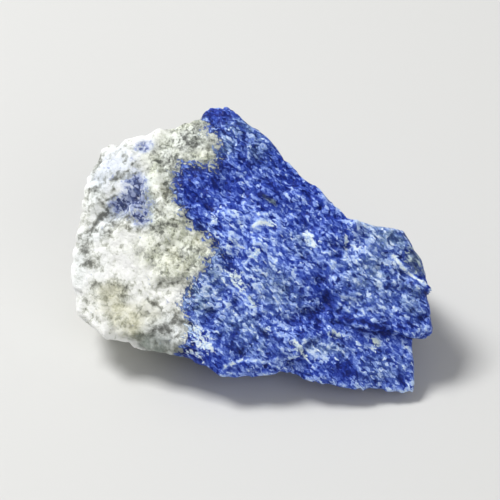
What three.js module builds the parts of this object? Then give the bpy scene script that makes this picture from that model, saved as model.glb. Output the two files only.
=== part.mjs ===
// A rough lapis lazuli stone, 47 mm long, lying on its small flat spot.
//
// The stone is one broken lump. It has a broad blue face that leans back, a rounded white calcite
// end on the left, a thin plate standing a step proud on the right, a blunt tip at the top and a
// low heel behind. Each of those is a block: the space inside a handful of flat facets.
//
// Two sets of axes are used, both in millimetres.
//   table axes  x to the right, y to the back, z up; the table is z = 0
//   stone axes  a to the right, b up the broad face, c out of it, from the stone's middle
//
// The surface is made by sliding the points of a gridded box along rays that leave a short spine
// inside the stone, until they meet the blocks. Relief is then added along the same rays, and
// what would reach below the table is stopped there, which leaves the flat spot it rests on.

import * as THREE from 'three';
import { mergeVertices } from 'three/addons/utils/BufferGeometryUtils.js';

// ---- driving dimensions ----

const FACE_TILT = 40;          // degrees between the broad face's normal and level
const MIDDLE_HEIGHT = 9.6;     // the stone's middle above the table
const BOX = [46, 37, 24];      // the gridded box, along a, b and c
const STEPS = [37, 29, 19];    // its grid steps, which give 9,308 triangles
const SPINE_SHARE = 0.6;       // the spine's length as a share of the box's length
const EDGE_ROUND = 0.42;       // how softly two facets of a block meet
const JOIN_ROUND = 0.2;        // how softly two blocks meet
const FAR = 300;               // farther than any facet

const CALCITE_EDGE = [-8.5, -5.5];         // a, from all white calcite to all blue lazurite
const GRAIN = [0.80, -0.56, -0.20];        // the blue part splits into slivers along this
const GRAIN_STRETCH = 1.9;                 // length of its hollows over their width
const LAYER = [0.42, 0.30, 0.86];          // the stone breaks in steps across this
const LAYER_PITCH = 4.2;                   // average height of a step's layer
const LAYER_DROP = 0.18;                   // share of a layer taken by the steep side of its step
const LAYER_RISE = 0.9;                    // relief of a full step

// hollows of two sizes in the blue part, and lumps of two sizes in the white part:
// pitch between their middles, how deep, and the first number of their random row
const HOLLOWS = [
  { pitch: 5.0, depth: 0.85, tilt: 0.45, row: 1 },
  { pitch: 2.0, depth: 0.32, tilt: 0.50, row: 9 },
];
const LUMPS = [
  { pitch: 5.6, depth: 0.75, tilt: 0.50, row: 21 },
  { pitch: 2.3, depth: 0.20, tilt: 0.50, row: 31 },
];
const BOWL = 0.9;              // how quickly a hollow's wall rises away from its middle

// creases (negative rise) and ridges on the broad face, from (a, b) to (a, b), width, rise
const STROKES = [
  { from: [-21.6, 3.2], to: [-15.2, 7.3], width: 1.0, rise: -0.8 },    // crease across the white end
  { from: [-15.2, 7.3], to: [-13.6, 11.5], width: 0.8, rise: -0.4 },
  { from: [-3.6, -15.3], to: [2.4, -15.4], width: 0.9, rise: 0.4 },    // lip on the lower edge
  { from: [3.6, -17.6], to: [5.6, -16.2], width: 2.2, rise: -1.5 },    // notch beside it
  { from: [6.0, -9.8], to: [10.4, -7.4], width: 1.5, rise: -0.8 },     // trough beside the plate
  { from: [10.4, -7.4], to: [9.2, -3.0], width: 1.4, rise: -0.8 },
  { from: [-1.5, 4.2], to: [8.5, 0.4], width: 1.6, rise: 0.4 },
  { from: [11.5, -0.5], to: [15.5, 3.0], width: 1.2, rise: -0.6 },
  { from: [7.0, -12.0], to: [15.0, -13.4], width: 1.1, rise: -0.5 },
];
const STROKE_FACE = [2.0, 6.0];            // c between which strokes fade in, towards the face
const NUB = { middle: [18.5, 1.5, 6.0], radius: 3.5 };     // the worn upper right end, without ledges

// ---- facets ----

const tilt = THREE.MathUtils.degToRad(FACE_TILT);
const toStone = new THREE.Matrix3(
  1, 0, 0,
  0, Math.sin(tilt), Math.cos(tilt),
  0, -Math.cos(tilt), Math.sin(tilt),
);
const toTable = toStone.clone().transpose();

// A facet is a THREE.Plane whose normal points out of the stone, in stone axes.
function facet(point, normal) {
  const out = new THREE.Vector3(...normal).normalize();
  return new THREE.Plane().setFromNormalAndCoplanarPoint(out, new THREE.Vector3(...point));
}

// A facet seen from the front: c at (a, b), and how fast c rises along a and along b.
const face = (c, riseA, riseB, a = 0, b = 0) => facet([a, b, c], [-riseA, -riseB, 1]);

// A facet given in table axes, by a point on it and its outward direction.
function ground(x, y, z, nx, ny, nz) {
  const point = new THREE.Vector3(x, y, z - MIDDLE_HEIGHT).applyMatrix3(toStone);
  const normal = new THREE.Vector3(nx, ny, nz).applyMatrix3(toStone);
  return facet(point.toArray(), normal.toArray());
}

// How far out the lowest of some front facets lies at (a, b).
const depthAt = (faces, a, b) => Math.min(...faces.map(
  ({ normal, constant }) => -(constant + normal.x * a + normal.y * b) / normal.z,
));

// A side facet under the outline edge from (a0, b0) to (a1, b1), walked anticlockwise. It hangs
// from the front facets at the edge's middle and leans in by so many degrees towards the back.
function side(faces, [a0, b0, a1, b1, lean]) {
  const a = (a0 + a1) / 2;
  const b = (b0 + b1) / 2;
  const length = Math.hypot(a1 - a0, b1 - b0);
  const angle = THREE.MathUtils.degToRad(lean);
  const level = Math.cos(angle) / length;
  return facet([a, b, depthAt(faces, a, b)], [(b1 - b0) * level, (a0 - a1) * level, -Math.sin(angle)]);
}

const block = (faces, sides, others) => [...faces, ...sides.map((edge) => side(faces, edge)), ...others];

// ---- the blocks ----

const broadFace = face(10.2, -0.05, -0.14);
const leftBack = ground(-18, 9, 12, -1, 0.9, 0);
const leftLow = ground(-21.5, 0, 5, -1, 0.2, -0.55);
const rightBack = ground(19, 6, 11, 1, 1, 0.25);
const rightLow = ground(21.5, -6, 4, 1, 0.3, -0.5);
const heelLow = ground(0, 3.2, 0, 0, 0.75, -1);
const underside = [
  ground(0, -4, 0, 0, -0.09, -1),          // rising gently away from the flat spot
  ground(-4.5, -3, 0, -0.30, 0, -1),
  ground(7.5, -5, 0, 0.15, 0.06, -1),
  heelLow,
];

const body = block([
  broadFace,
  face(10.5, 0.36, -0.02, -11, -4),        // white end, lower
  face(9.7, 0.34, -0.36, -11, 6),          // white end, upper
  face(7.9, -0.30, -0.42, 8, 9.5),         // bevel along the upper right edge
  face(9.6, -0.22, -0.10, 12, -4),         // towards the right end
  face(11.7, 0.0, 0.18, 0, -12.5),         // lower margin
  face(7.7, 0.05, -0.45, -8, 14),          // upper margin
  face(9.6, 0.45, 0.80, -12.3, -12.4),     // small facet at the foot of the white end
], [
  [22.0, -6.2, -0.7, 18.4, 22],
  [-1.0, 17.7, -12.8, 15.9, 20],
  [-12.6, 16.4, -18.9, 13.9, 15],
  [-18.9, 13.8, -21.2, 9.2, 8],
  [-21.1, 9.0, -23.6, -1.2, 6],
  [-23.8, -1.0, -23.1, -8.0, 4],
  [-23.3, -7.5, -19.1, -11.6, 12],
  [-19.2, -11.2, -3.4, -15.9, 12],
  [-4.0, -15.7, 20.4, -19.0, 20],
  [20.9, -19.3, 20.9, -8.0, 8],
], [
  ...underside,
  ground(-7, 10.6, 12, -0.30, 1, -0.05),   // back
  ground(8, 9.8, 12, 0.50, 1, 0.05),
  ground(0, 10.8, 19, 0.06, 1, 0.50),
  leftBack, leftLow, rightBack, rightLow,
]);

const plate = block([
  broadFace,
  face(10.3, -0.17, -0.13, 14, -4),
  face(8.7, -0.65, -0.40, 20.5, 0),        // chamfer on the right end
  face(10.3, 0.9, 0.0, 8, 0),              // left end, running down under the broad face
], [
  [19.6, 2.8, 10.4, 4.3, 10],
  [22.5, -2.2, 19.5, 3.2, 8],
  [23.4, -8.6, 22.4, -1.5, 6],
  [22.2, -11.5, 24.4, -10.7, 5],
  [6.0, -8.8, 22.4, -11.5, 0],             // the step down to the lower right chunk
], [
  ground(8, 9, 12, 0.5, 1, 0.1),
  ground(12, -5, 1, 0.30, -0.05, -1),
  ground(-6, 0, 1, -0.9, 0.2, -0.3),
  ground(-14, 0, 8, -1, 0, 0),
  rightBack, rightLow, heelLow,
]);

const tip = block([
  face(10.0, -0.05, -0.14),
  face(7.6, 0.25, -0.35, -4, 14),
  face(7.7, -0.30, -0.42, 8, 9.5),
], [
  [22.0, -6.5, -0.8, 18.2, 22],
  [-0.8, 18.6, -5.4, 18.5, 25],
  [-5.6, 18.6, -7.2, 14.0, 6],             // the notch between the white end and the tip
], [
  facet([-9, 0, 0], [-0.8, -0.3, 0.4]),
  facet([0, -8, 0], [0, -1, 0.3]),
  facet([0, 0, -6], [0, 0.4, -1]),
  ...underside,
]);

const heel = [
  ground(-6, 13.2, 6, -0.15, 1, 0.12),
  ground(4, 11.6, 6, 0.75, 1, 0.05),
  ground(-6, 12, 11, -0.10, 0.35, 1),
  ground(-13, 8, 5, -1, 0.55, 0.2),
  ground(11.5, 6, 5, 1, 0.30, 0.12),
  facet([9, 4, 0], [0.74, 0.67, 0]),
  heelLow,
  ground(-6.5, -3, 0.6, -0.55, 0, -1),
  ground(7, -5, 0.6, 0.4, -0.05, -1),
  ground(0, -5, 0.6, 0, -0.6, -1),
  facet([0, 0, 5], [0, 0, 1]),
];

const blocks = [body, plate, tip, heel];

// The least of some numbers, rounded off where two of them are nearly equal.
function softLeast(values, rounding) {
  const least = Math.min(...values);
  const sum = values.reduce((total, value) => total + Math.exp((least - value) / rounding), 0);
  return least - rounding * Math.log(sum);
}

// How far a ray runs before it leaves a block.
function reach(start, ray, facets) {
  const along = facets.map(({ normal, constant }) => {
    const facing = normal.dot(ray);
    return facing > 1e-6 ? Math.min(-(constant + normal.dot(start)) / facing, FAR) : FAR;
  });
  return softLeast(along, EDGE_ROUND);
}

// ---- relief ----

const fraction = (x) => x - Math.floor(x);

// A number from 0 to 1 that looks random but is always the same for one grid cell and row.
const scatter = (i, j, k, row) =>
  fraction(Math.sin(i * 127.1 + j * 311.7 + k * 74.7 + row * 17.3) * 43758.5453);

function smoothStep(low, high, x) {
  const t = THREE.MathUtils.clamp((x - low) / (high - low), 0, 1);
  return t * t * (3 - 2 * t);
}

// Gentle swelling from -1 to 1: random heights at grid corners, blended smoothly between them.
function swell(p, pitch, row) {
  const cell = p.map((x) => Math.floor(x / pitch));
  const blend = p.map((x) => smoothStep(0, 1, fraction(x / pitch)));
  let total = 0;
  for (const i of [0, 1]) {
    for (const j of [0, 1]) {
      for (const k of [0, 1]) {
        const weight = [i, j, k].reduce((w, end, axis) => w * (end ? blend[axis] : 1 - blend[axis]), 1);
        total += weight * scatter(cell[0] + i, cell[1] + j, cell[2] + k, row);
      }
    }
  }
  return 2 * total - 1;
}

// Shell-shaped hollows: each grid cell has a bowl with a random middle, lean and floor, and the
// lowest bowl at a point counts, so neighbouring bowls meet in a crisp ridge.
function hollow(p, { pitch, depth, tilt: lean, row }) {
  const q = p.map((x) => x / pitch);
  const cell = q.map(Math.floor);
  let lowest = FAR;
  for (const di of [-1, 0, 1]) {
    for (const dj of [-1, 0, 1]) {
      for (const dk of [-1, 0, 1]) {
        const at = [cell[0] + di, cell[1] + dj, cell[2] + dk];
        const away = q.map((x, axis) => x - at[axis] - scatter(...at, row + axis));
        const bowl = away.reduce((sum, d, axis) =>
          sum + BOWL * d * d + lean * d * (2 * scatter(...at, row + 3 + axis) - 1), 0);
        lowest = Math.min(lowest, bowl + 0.5 * BOWL * scatter(...at, row + 6));
      }
    }
  }
  return depth * (lowest - 0.35 * BOWL);
}

const dot = (p, q) => p[0] * q[0] + p[1] * q[1] + p[2] * q[2];
const unit = (p) => p.map((x) => x / Math.hypot(...p));
const grain = unit(GRAIN);
const layerUp = unit(LAYER);

// Broken layers: along the layer direction the surface climbs slowly and drops back quickly, each
// layer by an amount of its own, and the layers wander.
function ledges(p) {
  const s = dot(p, layerUp) / LAYER_PITCH + 1.3 * swell(p, 9.0, 60) + 0.35 * swell(p, 3.2, 61);
  const layer = Math.floor(s);
  const x = s - layer;
  const size = 0.15 + 1.35 * scatter(layer, 0, 0, 62) ** 2;
  return LAYER_RISE * (size * Math.min(x / (1 - LAYER_DROP), (1 - x) / LAYER_DROP) - 0.25);
}

// Creases and ridges, each a soft-sided line on the broad face.
function strokes(p) {
  let total = 0;
  for (const { from, to, width, rise } of STROKES) {
    const run = [to[0] - from[0], to[1] - from[1]];
    const off = [p[0] - from[0], p[1] - from[1]];
    const t = THREE.MathUtils.clamp((off[0] * run[0] + off[1] * run[1]) / (run[0] ** 2 + run[1] ** 2), 0, 1);
    const away = Math.hypot(off[0] - t * run[0], off[1] - t * run[1]);
    total += rise * Math.exp(-((away / width) ** 2));
  }
  return total * smoothStep(...STROKE_FACE, p[2]);
}

// All the relief at a point, in millimetres along the ray.
function relief(p) {
  const shrink = (1 - 1 / GRAIN_STRETCH) * dot(p, grain);
  const q = p.map((x, axis) => x - shrink * grain[axis]);
  const broken = HOLLOWS.reduce((sum, size) => sum + hollow(q, size), 0);
  const lumpy = -LUMPS.reduce((sum, size) => sum + hollow(p, size), 0);
  const white = 1 - smoothStep(...CALCITE_EDGE, p[0] + 1.5 * swell(p, 6.0, 50));
  const fromNub = Math.hypot(...p.map((x, axis) => x - NUB.middle[axis]));
  const unworn = smoothStep(NUB.radius, 2 * NUB.radius, fromNub);
  const stepped = THREE.MathUtils.clamp(0.6 + 1.5 * swell(p, 11.0, 40) + 0.02 * p[0], 0, 1);
  return broken + white * (lumpy - broken) + unworn * stepped * ledges(p) + strokes(p);
}

// ---- the stone ----

// Slide one point of the box onto the stone, and give it in table axes.
function ontoStone(point) {
  const start = new THREE.Vector3(point.x * SPINE_SHARE, 0, 0);
  const ray = point.clone().sub(start).normalize();
  let far = -softLeast(blocks.map((facets) => -reach(start, ray, facets)), JOIN_ROUND);
  far += relief(start.clone().addScaledVector(ray, far).toArray());
  const from = start.clone().applyMatrix3(toTable);
  const along = ray.clone().applyMatrix3(toTable);
  from.z += MIDDLE_HEIGHT;
  const toFloor = along.z < -1e-6 ? from.z / -along.z : FAR;
  return from.addScaledVector(along, Math.min(far, toFloor));
}

function stoneGeometry() {
  const box = new THREE.BoxGeometry(...BOX, ...STEPS);
  box.deleteAttribute('normal');
  box.deleteAttribute('uv');
  const geometry = mergeVertices(box, 1e-4);
  const position = geometry.getAttribute('position');
  const point = new THREE.Vector3();
  for (let i = 0; i < position.count; i += 1) {
    const { x, y, z } = ontoStone(point.fromBufferAttribute(position, i));
    position.setXYZ(i, x, y, Math.max(z, 0));
  }
  geometry.computeVertexNormals();
  return geometry;
}

const stone = new THREE.Mesh(stoneGeometry(), new THREE.MeshStandardMaterial({
  color: '#2f45ac',
  roughness: 0.55,
  metalness: 0,
}));
stone.name = 'lapis_stone';

// The origin is under the middle of the stone's box, on the table.
stone.geometry.computeBoundingBox();
const middle = stone.geometry.boundingBox.getCenter(new THREE.Vector3());
stone.position.set(-middle.x, -middle.y, 0);

const group = new THREE.Group();
group.add(stone);

export default group;
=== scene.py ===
# %% [markdown]
# # A rough lapis lazuli stone
#
# Lapis lazuli is a rock, not a single mineral: grains of blue lazurite, with white calcite and a
# little grey-green diopside between them. This lump was broken by hand. It has a broad blue face,
# a rounded calcite end and a thin plate that stands a step proud. The solid model already holds
# those forms at its real size. This notebook gives it the finish: a finer surface with splinters
# and sugary grains, the colours of its minerals, a floor, light and a camera.

import bpy
import numpy as np
from mathutils import Matrix, Vector


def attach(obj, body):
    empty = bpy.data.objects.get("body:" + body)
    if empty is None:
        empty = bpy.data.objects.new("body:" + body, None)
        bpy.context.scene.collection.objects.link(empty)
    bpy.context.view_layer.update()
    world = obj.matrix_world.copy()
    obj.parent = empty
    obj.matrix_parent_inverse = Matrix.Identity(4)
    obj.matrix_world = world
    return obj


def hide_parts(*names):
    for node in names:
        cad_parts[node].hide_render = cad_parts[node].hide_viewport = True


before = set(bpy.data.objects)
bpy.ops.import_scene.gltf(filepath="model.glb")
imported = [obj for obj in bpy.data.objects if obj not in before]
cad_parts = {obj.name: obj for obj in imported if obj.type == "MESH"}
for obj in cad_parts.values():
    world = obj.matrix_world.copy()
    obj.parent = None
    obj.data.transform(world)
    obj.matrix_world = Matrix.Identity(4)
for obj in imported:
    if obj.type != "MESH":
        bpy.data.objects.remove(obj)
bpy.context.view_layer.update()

MM = 0.001

# %% [markdown]
# ## Two sets of axes
#
# The table's axes have x to the right, y to the back and z up. The broad face leans back, so its
# forms are easier to place in axes of its own: a to the right, b up the face and c out of it,
# from the stone's middle. Both are in millimetres, and one small matrix turns the one into the
# other.

# %% Axes of the stone
FACE_TILT = np.radians(40)
MIDDLE_HEIGHT = 9.6
TO_STONE = np.array([
    [1, 0, 0],
    [0, np.sin(FACE_TILT), np.cos(FACE_TILT)],
    [0, -np.cos(FACE_TILT), np.sin(FACE_TILT)],
])
print("stone axes as rows:", TO_STONE.round(3).tolist())


def to_table(p):
    """Points in stone axes, given in table axes: the turn undone, then up by the middle's height."""
    return p @ TO_STONE + (0, 0, MIDDLE_HEIGHT)


# %% [markdown]
# ## Facets and blocks
#
# A broken stone is a few flat breaks meeting at edges. It could be cut from a cube with Boolean
# modifiers, but planes kept as plain numbers are easier to move and leave no slivers. A facet is
# a plane with an outward direction n and an offset d, so that a point p is inside it where
# n . p < d. A block is the space inside all of its facets. Facets on the front are given by their
# height and slopes, side facets hang from an edge of the outline, and the others are given in
# table axes.

# %% Ways to write a facet
def facet(point, normal):
    """Four numbers n, d: the unit normal, and n . point."""
    normal = np.array(normal, float)
    normal = normal / np.linalg.norm(normal)
    return np.append(normal, normal @ np.array(point, float))


def face(c, rise_a, rise_b, a=0.0, b=0.0):
    """The plane c + rise_a (A - a) + rise_b (B - b), facing out of the stone's front."""
    return facet((a, b, c), (-rise_a, -rise_b, 1))


def ground(x, y, z, nx, ny, nz):
    """A facet through a point in table axes, with its direction in table axes."""
    return facet(TO_STONE @ (x, y, z - MIDDLE_HEIGHT), TO_STONE @ (nx, ny, nz))


def side(faces, a0, b0, a1, b1, lean):
    """The facet under an outline edge walked anticlockwise. It hangs from the lowest of the front
    facets at the edge's middle, and leans in by so many degrees towards the back."""
    a, b = (a0 + a1) / 2, (b0 + b1) / 2
    c = min((d - na * a - nb * b) / nc for na, nb, nc, d in faces)
    level = np.cos(np.radians(lean)) / np.hypot(a1 - a0, b1 - b0)
    return facet((a, b, c), ((b1 - b0) * level, (a0 - a1) * level, -np.sin(np.radians(lean))))


def block(faces, sides, others):
    """All facets of a block as rows n, d: those of the front, of the outline and the others."""
    return np.array(faces + [side(faces, *edge) for edge in sides] + others)


# %% The body, with its broad face and its white end
BROAD_FACE = face(10.2, -0.05, -0.14)
LEFT_BACK = ground(-18, 9, 12, -1, 0.9, 0)
LEFT_LOW = ground(-21.5, 0, 5, -1, 0.2, -0.55)
RIGHT_BACK = ground(19, 6, 11, 1, 1, 0.25)
RIGHT_LOW = ground(21.5, -6, 4, 1, 0.3, -0.5)
HEEL_LOW = ground(0, 3.2, 0, 0, 0.75, -1)
UNDERSIDE = [
    ground(0, -4, 0, 0, -0.09, -1),          # rising gently away from the flat spot
    ground(-4.5, -3, 0, -0.30, 0, -1),
    ground(7.5, -5, 0, 0.15, 0.06, -1),
    HEEL_LOW,
]

BODY = block([
    BROAD_FACE,
    face(10.5, 0.36, -0.02, -11, -4),        # white end, lower
    face(9.7, 0.34, -0.36, -11, 6),          # white end, upper
    face(7.9, -0.30, -0.42, 8, 9.5),         # bevel along the upper right edge
    face(9.6, -0.22, -0.10, 12, -4),         # towards the right end
    face(11.7, 0.0, 0.18, 0, -12.5),         # lower margin
    face(7.7, 0.05, -0.45, -8, 14),          # upper margin
    face(9.6, 0.45, 0.80, -12.3, -12.4),     # small facet at the foot of the white end
], [
    (22.0, -6.2, -0.7, 18.4, 22),
    (-1.0, 17.7, -12.8, 15.9, 20),
    (-12.6, 16.4, -18.9, 13.9, 15),
    (-18.9, 13.8, -21.2, 9.2, 8),
    (-21.1, 9.0, -23.6, -1.2, 6),
    (-23.8, -1.0, -23.1, -8.0, 4),
    (-23.3, -7.5, -19.1, -11.6, 12),
    (-19.2, -11.2, -3.4, -15.9, 12),
    (-4.0, -15.7, 20.4, -19.0, 20),
    (20.9, -19.3, 20.9, -8.0, 8),
], [
    *UNDERSIDE,
    ground(-7, 10.6, 12, -0.30, 1, -0.05),   # back
    ground(8, 9.8, 12, 0.50, 1, 0.05),
    ground(0, 10.8, 19, 0.06, 1, 0.50),
    LEFT_BACK, LEFT_LOW, RIGHT_BACK, RIGHT_LOW,
])
print("the body has", len(BODY), "facets")

# %% The plate, the tip and the heel
PLATE = block([
    BROAD_FACE,
    face(10.3, -0.17, -0.13, 14, -4),
    face(8.7, -0.65, -0.40, 20.5, 0),        # chamfer on the right end
    face(10.3, 0.9, 0.0, 8, 0),              # left end, running down under the broad face
], [
    (19.6, 2.8, 10.4, 4.3, 10),
    (22.5, -2.2, 19.5, 3.2, 8),
    (23.4, -8.6, 22.4, -1.5, 6),
    (22.2, -11.5, 24.4, -10.7, 5),
    (6.0, -8.8, 22.4, -11.5, 0),             # the step down to the lower right chunk
], [
    ground(8, 9, 12, 0.5, 1, 0.1),
    ground(12, -5, 1, 0.30, -0.05, -1),
    ground(-6, 0, 1, -0.9, 0.2, -0.3),
    ground(-14, 0, 8, -1, 0, 0),
    RIGHT_BACK, RIGHT_LOW, HEEL_LOW,
])

TIP = block([
    face(10.0, -0.05, -0.14),
    face(7.6, 0.25, -0.35, -4, 14),
    face(7.7, -0.30, -0.42, 8, 9.5),
], [
    (22.0, -6.5, -0.8, 18.2, 22),
    (-0.8, 18.6, -5.4, 18.5, 25),
    (-5.6, 18.6, -7.2, 14.0, 6),             # the notch between the white end and the tip
], [
    facet((-9, 0, 0), (-0.8, -0.3, 0.4)),
    facet((0, -8, 0), (0, -1, 0.3)),
    facet((0, 0, -6), (0, 0.4, -1)),
    *UNDERSIDE,
])

HEEL = np.array([
    ground(-6, 13.2, 6, -0.15, 1, 0.12),
    ground(4, 11.6, 6, 0.75, 1, 0.05),
    ground(-6, 12, 11, -0.10, 0.35, 1),
    ground(-13, 8, 5, -1, 0.55, 0.2),
    ground(11.5, 6, 5, 1, 0.30, 0.12),
    facet((9, 4, 0), (0.74, 0.67, 0)),
    HEEL_LOW,
    ground(-6.5, -3, 0.6, -0.55, 0, -1),
    ground(7, -5, 0.6, 0.4, -0.05, -1),
    ground(0, -5, 0.6, 0, -0.6, -1),
    facet((0, 0, 5), (0, 0, 1)),
])
BLOCKS = [BODY, PLATE, TIP, HEEL]
print("facets:", sum(len(b) for b in BLOCKS), "in", len(BLOCKS), "blocks")

# %% [markdown]
# ## Where a ray leaves the stone
#
# The surface is found along rays that leave a short spine inside the stone. A ray leaves a block
# at the nearest of its facets, and leaves the stone at the farthest of its blocks. Cutting space
# into cubes would find the same surface, but rays need far less work and keep the mesh in order.
# Taking the soft least instead of the least rounds the edges off a little, as handling does.

# %% Rays and blocks
EDGE_ROUND = 0.42                            # mm, between two facets
JOIN_ROUND = 0.2                             # mm, between two blocks
FAR = 300.0                                  # mm, farther than the stone reaches
BARELY = 1e-6                                # a ray this close to level never meets the plane


def soft_least(values, rounding):
    """The least m of the rows, less r log(sum of exp((m - v) / r)): rounded where two are near."""
    least = values.min(axis=0)
    return least - rounding * np.log(np.exp((least - values) / rounding).sum(axis=0))


def reach(starts, rays, facets, rounding):
    """Along each ray, (d - n . start) / (n . ray) for every facet it heads for, and the soft least."""
    facing = rays @ facets[:, :3].T
    gap = facets[:, 3] - starts @ facets[:, :3].T
    along = np.where(facing > BARELY, gap / np.maximum(facing, BARELY), FAR)
    return soft_least(np.minimum(along, FAR).T, rounding)


def leave(starts, rays, rounding=EDGE_ROUND):
    """The farthest block: minus the soft least of minus each block's reach."""
    return -soft_least(-np.array([reach(starts, rays, b, rounding) for b in BLOCKS]), JOIN_ROUND)


# %% [markdown]
# ## Relief of the break
#
# Fresh stone breaks in shell-shaped hollows that meet in crisp ridges. The blue rock also splits
# into slivers along its grain, so its hollows are stretched that way, while calcite breaks into
# rounded lumps. Across the layers the surface steps down in ledges. A Displace modifier could
# push all this out of a finished mesh. It is worked out with the surface instead, from one
# repeatable scatter of numbers, so that the solid model and this mesh share it.

# %% Repeatable noise
def scatter(i, j, k, row):
    """The fraction of sin(127.1 i + 311.7 j + 74.7 k + 17.3 row) times 43758.5453: 0 to 1."""
    s = np.sin(i * 127.1 + j * 311.7 + k * 74.7 + row * 17.3) * 43758.5453
    return s - np.floor(s)


def corners(first, last):
    """Every step from first to last along three axes: the neighbours of a grid cell."""
    steps = range(first, last + 1)
    return [(i, j, k) for i in steps for j in steps for k in steps]


def swell(p, pitch, row):
    """Random heights at the corners of a grid, blended by 3 f^2 - 2 f^3 along each axis: -1 to 1."""
    q = p / pitch
    cell = np.floor(q)
    f = q - cell
    f = f * f * (3 - 2 * f)
    total = 0.0
    for corner in corners(0, 1):
        weight = np.prod(np.where(np.array(corner) == 1, f, 1 - f), axis=1)
        total = total + weight * scatter(*(cell + corner).T, row)
    return 2 * total - 1


BOWL = 0.9                                   # how steep a bowl is
BOWL_FLOOR = 0.5                             # its random floor, as a share of that
BOWL_MEAN = 0.35                             # taken off, so that the bowls don't swell the stone


def hollows(p, pitch, depth, tilt, row):
    """Each grid cell has a bowl 0.9 d^2 + tilt (d . lean) + floor round a random middle, with d in
    pitches. The lowest bowl counts, so that neighbours meet in a crisp ridge."""
    q = p / pitch
    cell = np.floor(q)
    lowest = np.full(len(q), FAR)
    for corner in corners(-1, 1):
        at = cell + corner
        middle = at + np.stack([scatter(*at.T, row + n) for n in range(3)], axis=1)
        lean = 2 * np.stack([scatter(*at.T, row + 3 + n) for n in range(3)], axis=1) - 1
        d = q - middle
        floor = BOWL_FLOOR * BOWL * scatter(*at.T, row + 6)
        bowl = (d * (BOWL * d + tilt * lean)).sum(axis=1) + floor
        lowest = np.minimum(lowest, bowl)
    return depth * (lowest - BOWL_MEAN * BOWL)


def ramp(low, high, x):
    """0 below low, 1 above high and 3 t^2 - 2 t^3 between them."""
    t = np.clip((x - low) / (high - low), 0, 1)
    return t * t * (3 - 2 * t)


# %% Grain, layers and ledges
def unit(v):
    """The direction of v with a length of 1."""
    return np.array(v) / np.linalg.norm(v)


GRAIN = unit([0.80, -0.56, -0.20])
LAYER = unit([0.42, 0.30, 0.86])
LAYER_DROP = 0.18                            # share of a layer over which it drops
LEDGE_LEAST, LEDGE_SPREAD = 0.15, 1.35       # size of a layer's ledge, and its random part
LEDGE_MEAN = 0.25
WIDE_WANDER, NARROW_WANDER = 1.3, 0.35       # in layers


def along_grain(p, stretch):
    """The points with their distance along the grain shortened, which makes patterns longer there."""
    return p - (1 - 1 / stretch) * (p @ GRAIN)[:, None] * GRAIN


def ledges(p, pitch, wide, narrow, rise, row):
    """Along the layer direction each layer climbs slowly by its own random size and drops over
    the last 18% of it, back to where it began. A wide and a narrow swell make the layers wander."""
    wander = WIDE_WANDER * swell(p, wide, row), NARROW_WANDER * swell(p, narrow, row + 1)
    s = p @ LAYER / pitch + wander[0] + wander[1]
    layer = np.floor(s)
    x = s - layer
    size = LEDGE_LEAST + LEDGE_SPREAD * scatter(layer, 0, 0, row + 2) ** 2
    return rise * (size * np.minimum(x / (1 - LAYER_DROP), (1 - x) / LAYER_DROP) - LEDGE_MEAN)


# %% Creases and ridges on the broad face
STROKES = [                                  # from (a, b) to (a, b), width, rise
    (-21.6, 3.2, -15.2, 7.3, 1.0, -0.8),     # crease across the white end
    (-15.2, 7.3, -13.6, 11.5, 0.8, -0.4),
    (-3.6, -15.3, 2.4, -15.4, 0.9, 0.4),     # lip on the lower edge
    (3.6, -17.6, 5.6, -16.2, 2.2, -1.5),     # notch beside it
    (6.0, -9.8, 10.4, -7.4, 1.5, -0.8),      # trough beside the plate
    (10.4, -7.4, 9.2, -3.0, 1.4, -0.8),
    (-1.5, 4.2, 8.5, 0.4, 1.6, 0.4),
    (11.5, -0.5, 15.5, 3.0, 1.2, -0.6),
    (7.0, -12.0, 15.0, -13.4, 1.1, -0.5),
]
NUB = (18.5, 1.5, 6.0, 3.5)                  # middle and radius of the worn end, which has no ledges
LUMPY_TO, BROKEN_FROM = -8.5, -5.5           # a, where the white end's lumps give way to hollows
STROKE_FADE = (2, 6)                         # c, in mm, over which the face's strokes come in


def off_line(p, a0, b0, a1, b1):
    """The distance in a and b from each point to the nearest point of a line."""
    run = np.array([a1 - a0, b1 - b0])
    off = p[:, :2] - (a0, b0)
    t = np.clip(off @ run / (run @ run), 0, 1)
    return np.linalg.norm(off - t[:, None] * run, axis=1)


def strokes(p, rows):
    """The sum of rise exp(-(distance / width)^2), fading out behind the face."""
    total = sum(rise * np.exp(-(off_line(p, *line) / width) ** 2) for *line, width, rise in rows)
    return total * ramp(*STROKE_FADE, p[:, 2])


def relief(p):
    """Hollows in the blue part, lumps in the white part, ledges in patches, and the strokes."""
    q = along_grain(p, 1.9)
    broken = hollows(q, 5.0, 0.85, 0.45, 1) + hollows(q, 2.0, 0.32, 0.50, 9)
    lumpy = -hollows(p, 5.6, 0.75, 0.50, 21) - hollows(p, 2.3, 0.20, 0.50, 31)
    white = 1 - ramp(LUMPY_TO, BROKEN_FROM, p[:, 0] + 1.5 * swell(p, 6.0, 50))
    stepped = np.clip(0.6 + 1.5 * swell(p, 11.0, 40) + 0.02 * p[:, 0], 0, 1)
    stepped = stepped * ramp(NUB[3], 2 * NUB[3], np.linalg.norm(p - NUB[:3], axis=1))
    stepped = stepped * ledges(p, 4.2, 9.0, 3.2, 0.9, 60)
    return broken + white * (lumpy - broken) + stepped + strokes(p, STROKES)


print(len(STROKES), "creases and ridges on the face")

# %% [markdown]
# ## Where the calcite ends
#
# The border between the white end and the blue is not a line but a crooked seam, which runs
# through the whole stone. On the face it is given by a few points. Behind the face it wanders
# by itself. Faces could be sorted into blue and white, but the border would then show their
# edges. What is kept for every point is its distance from the border in millimetres, less than
# nothing on the white side, so that the finish can draw a crisp edge at any scale.

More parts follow.
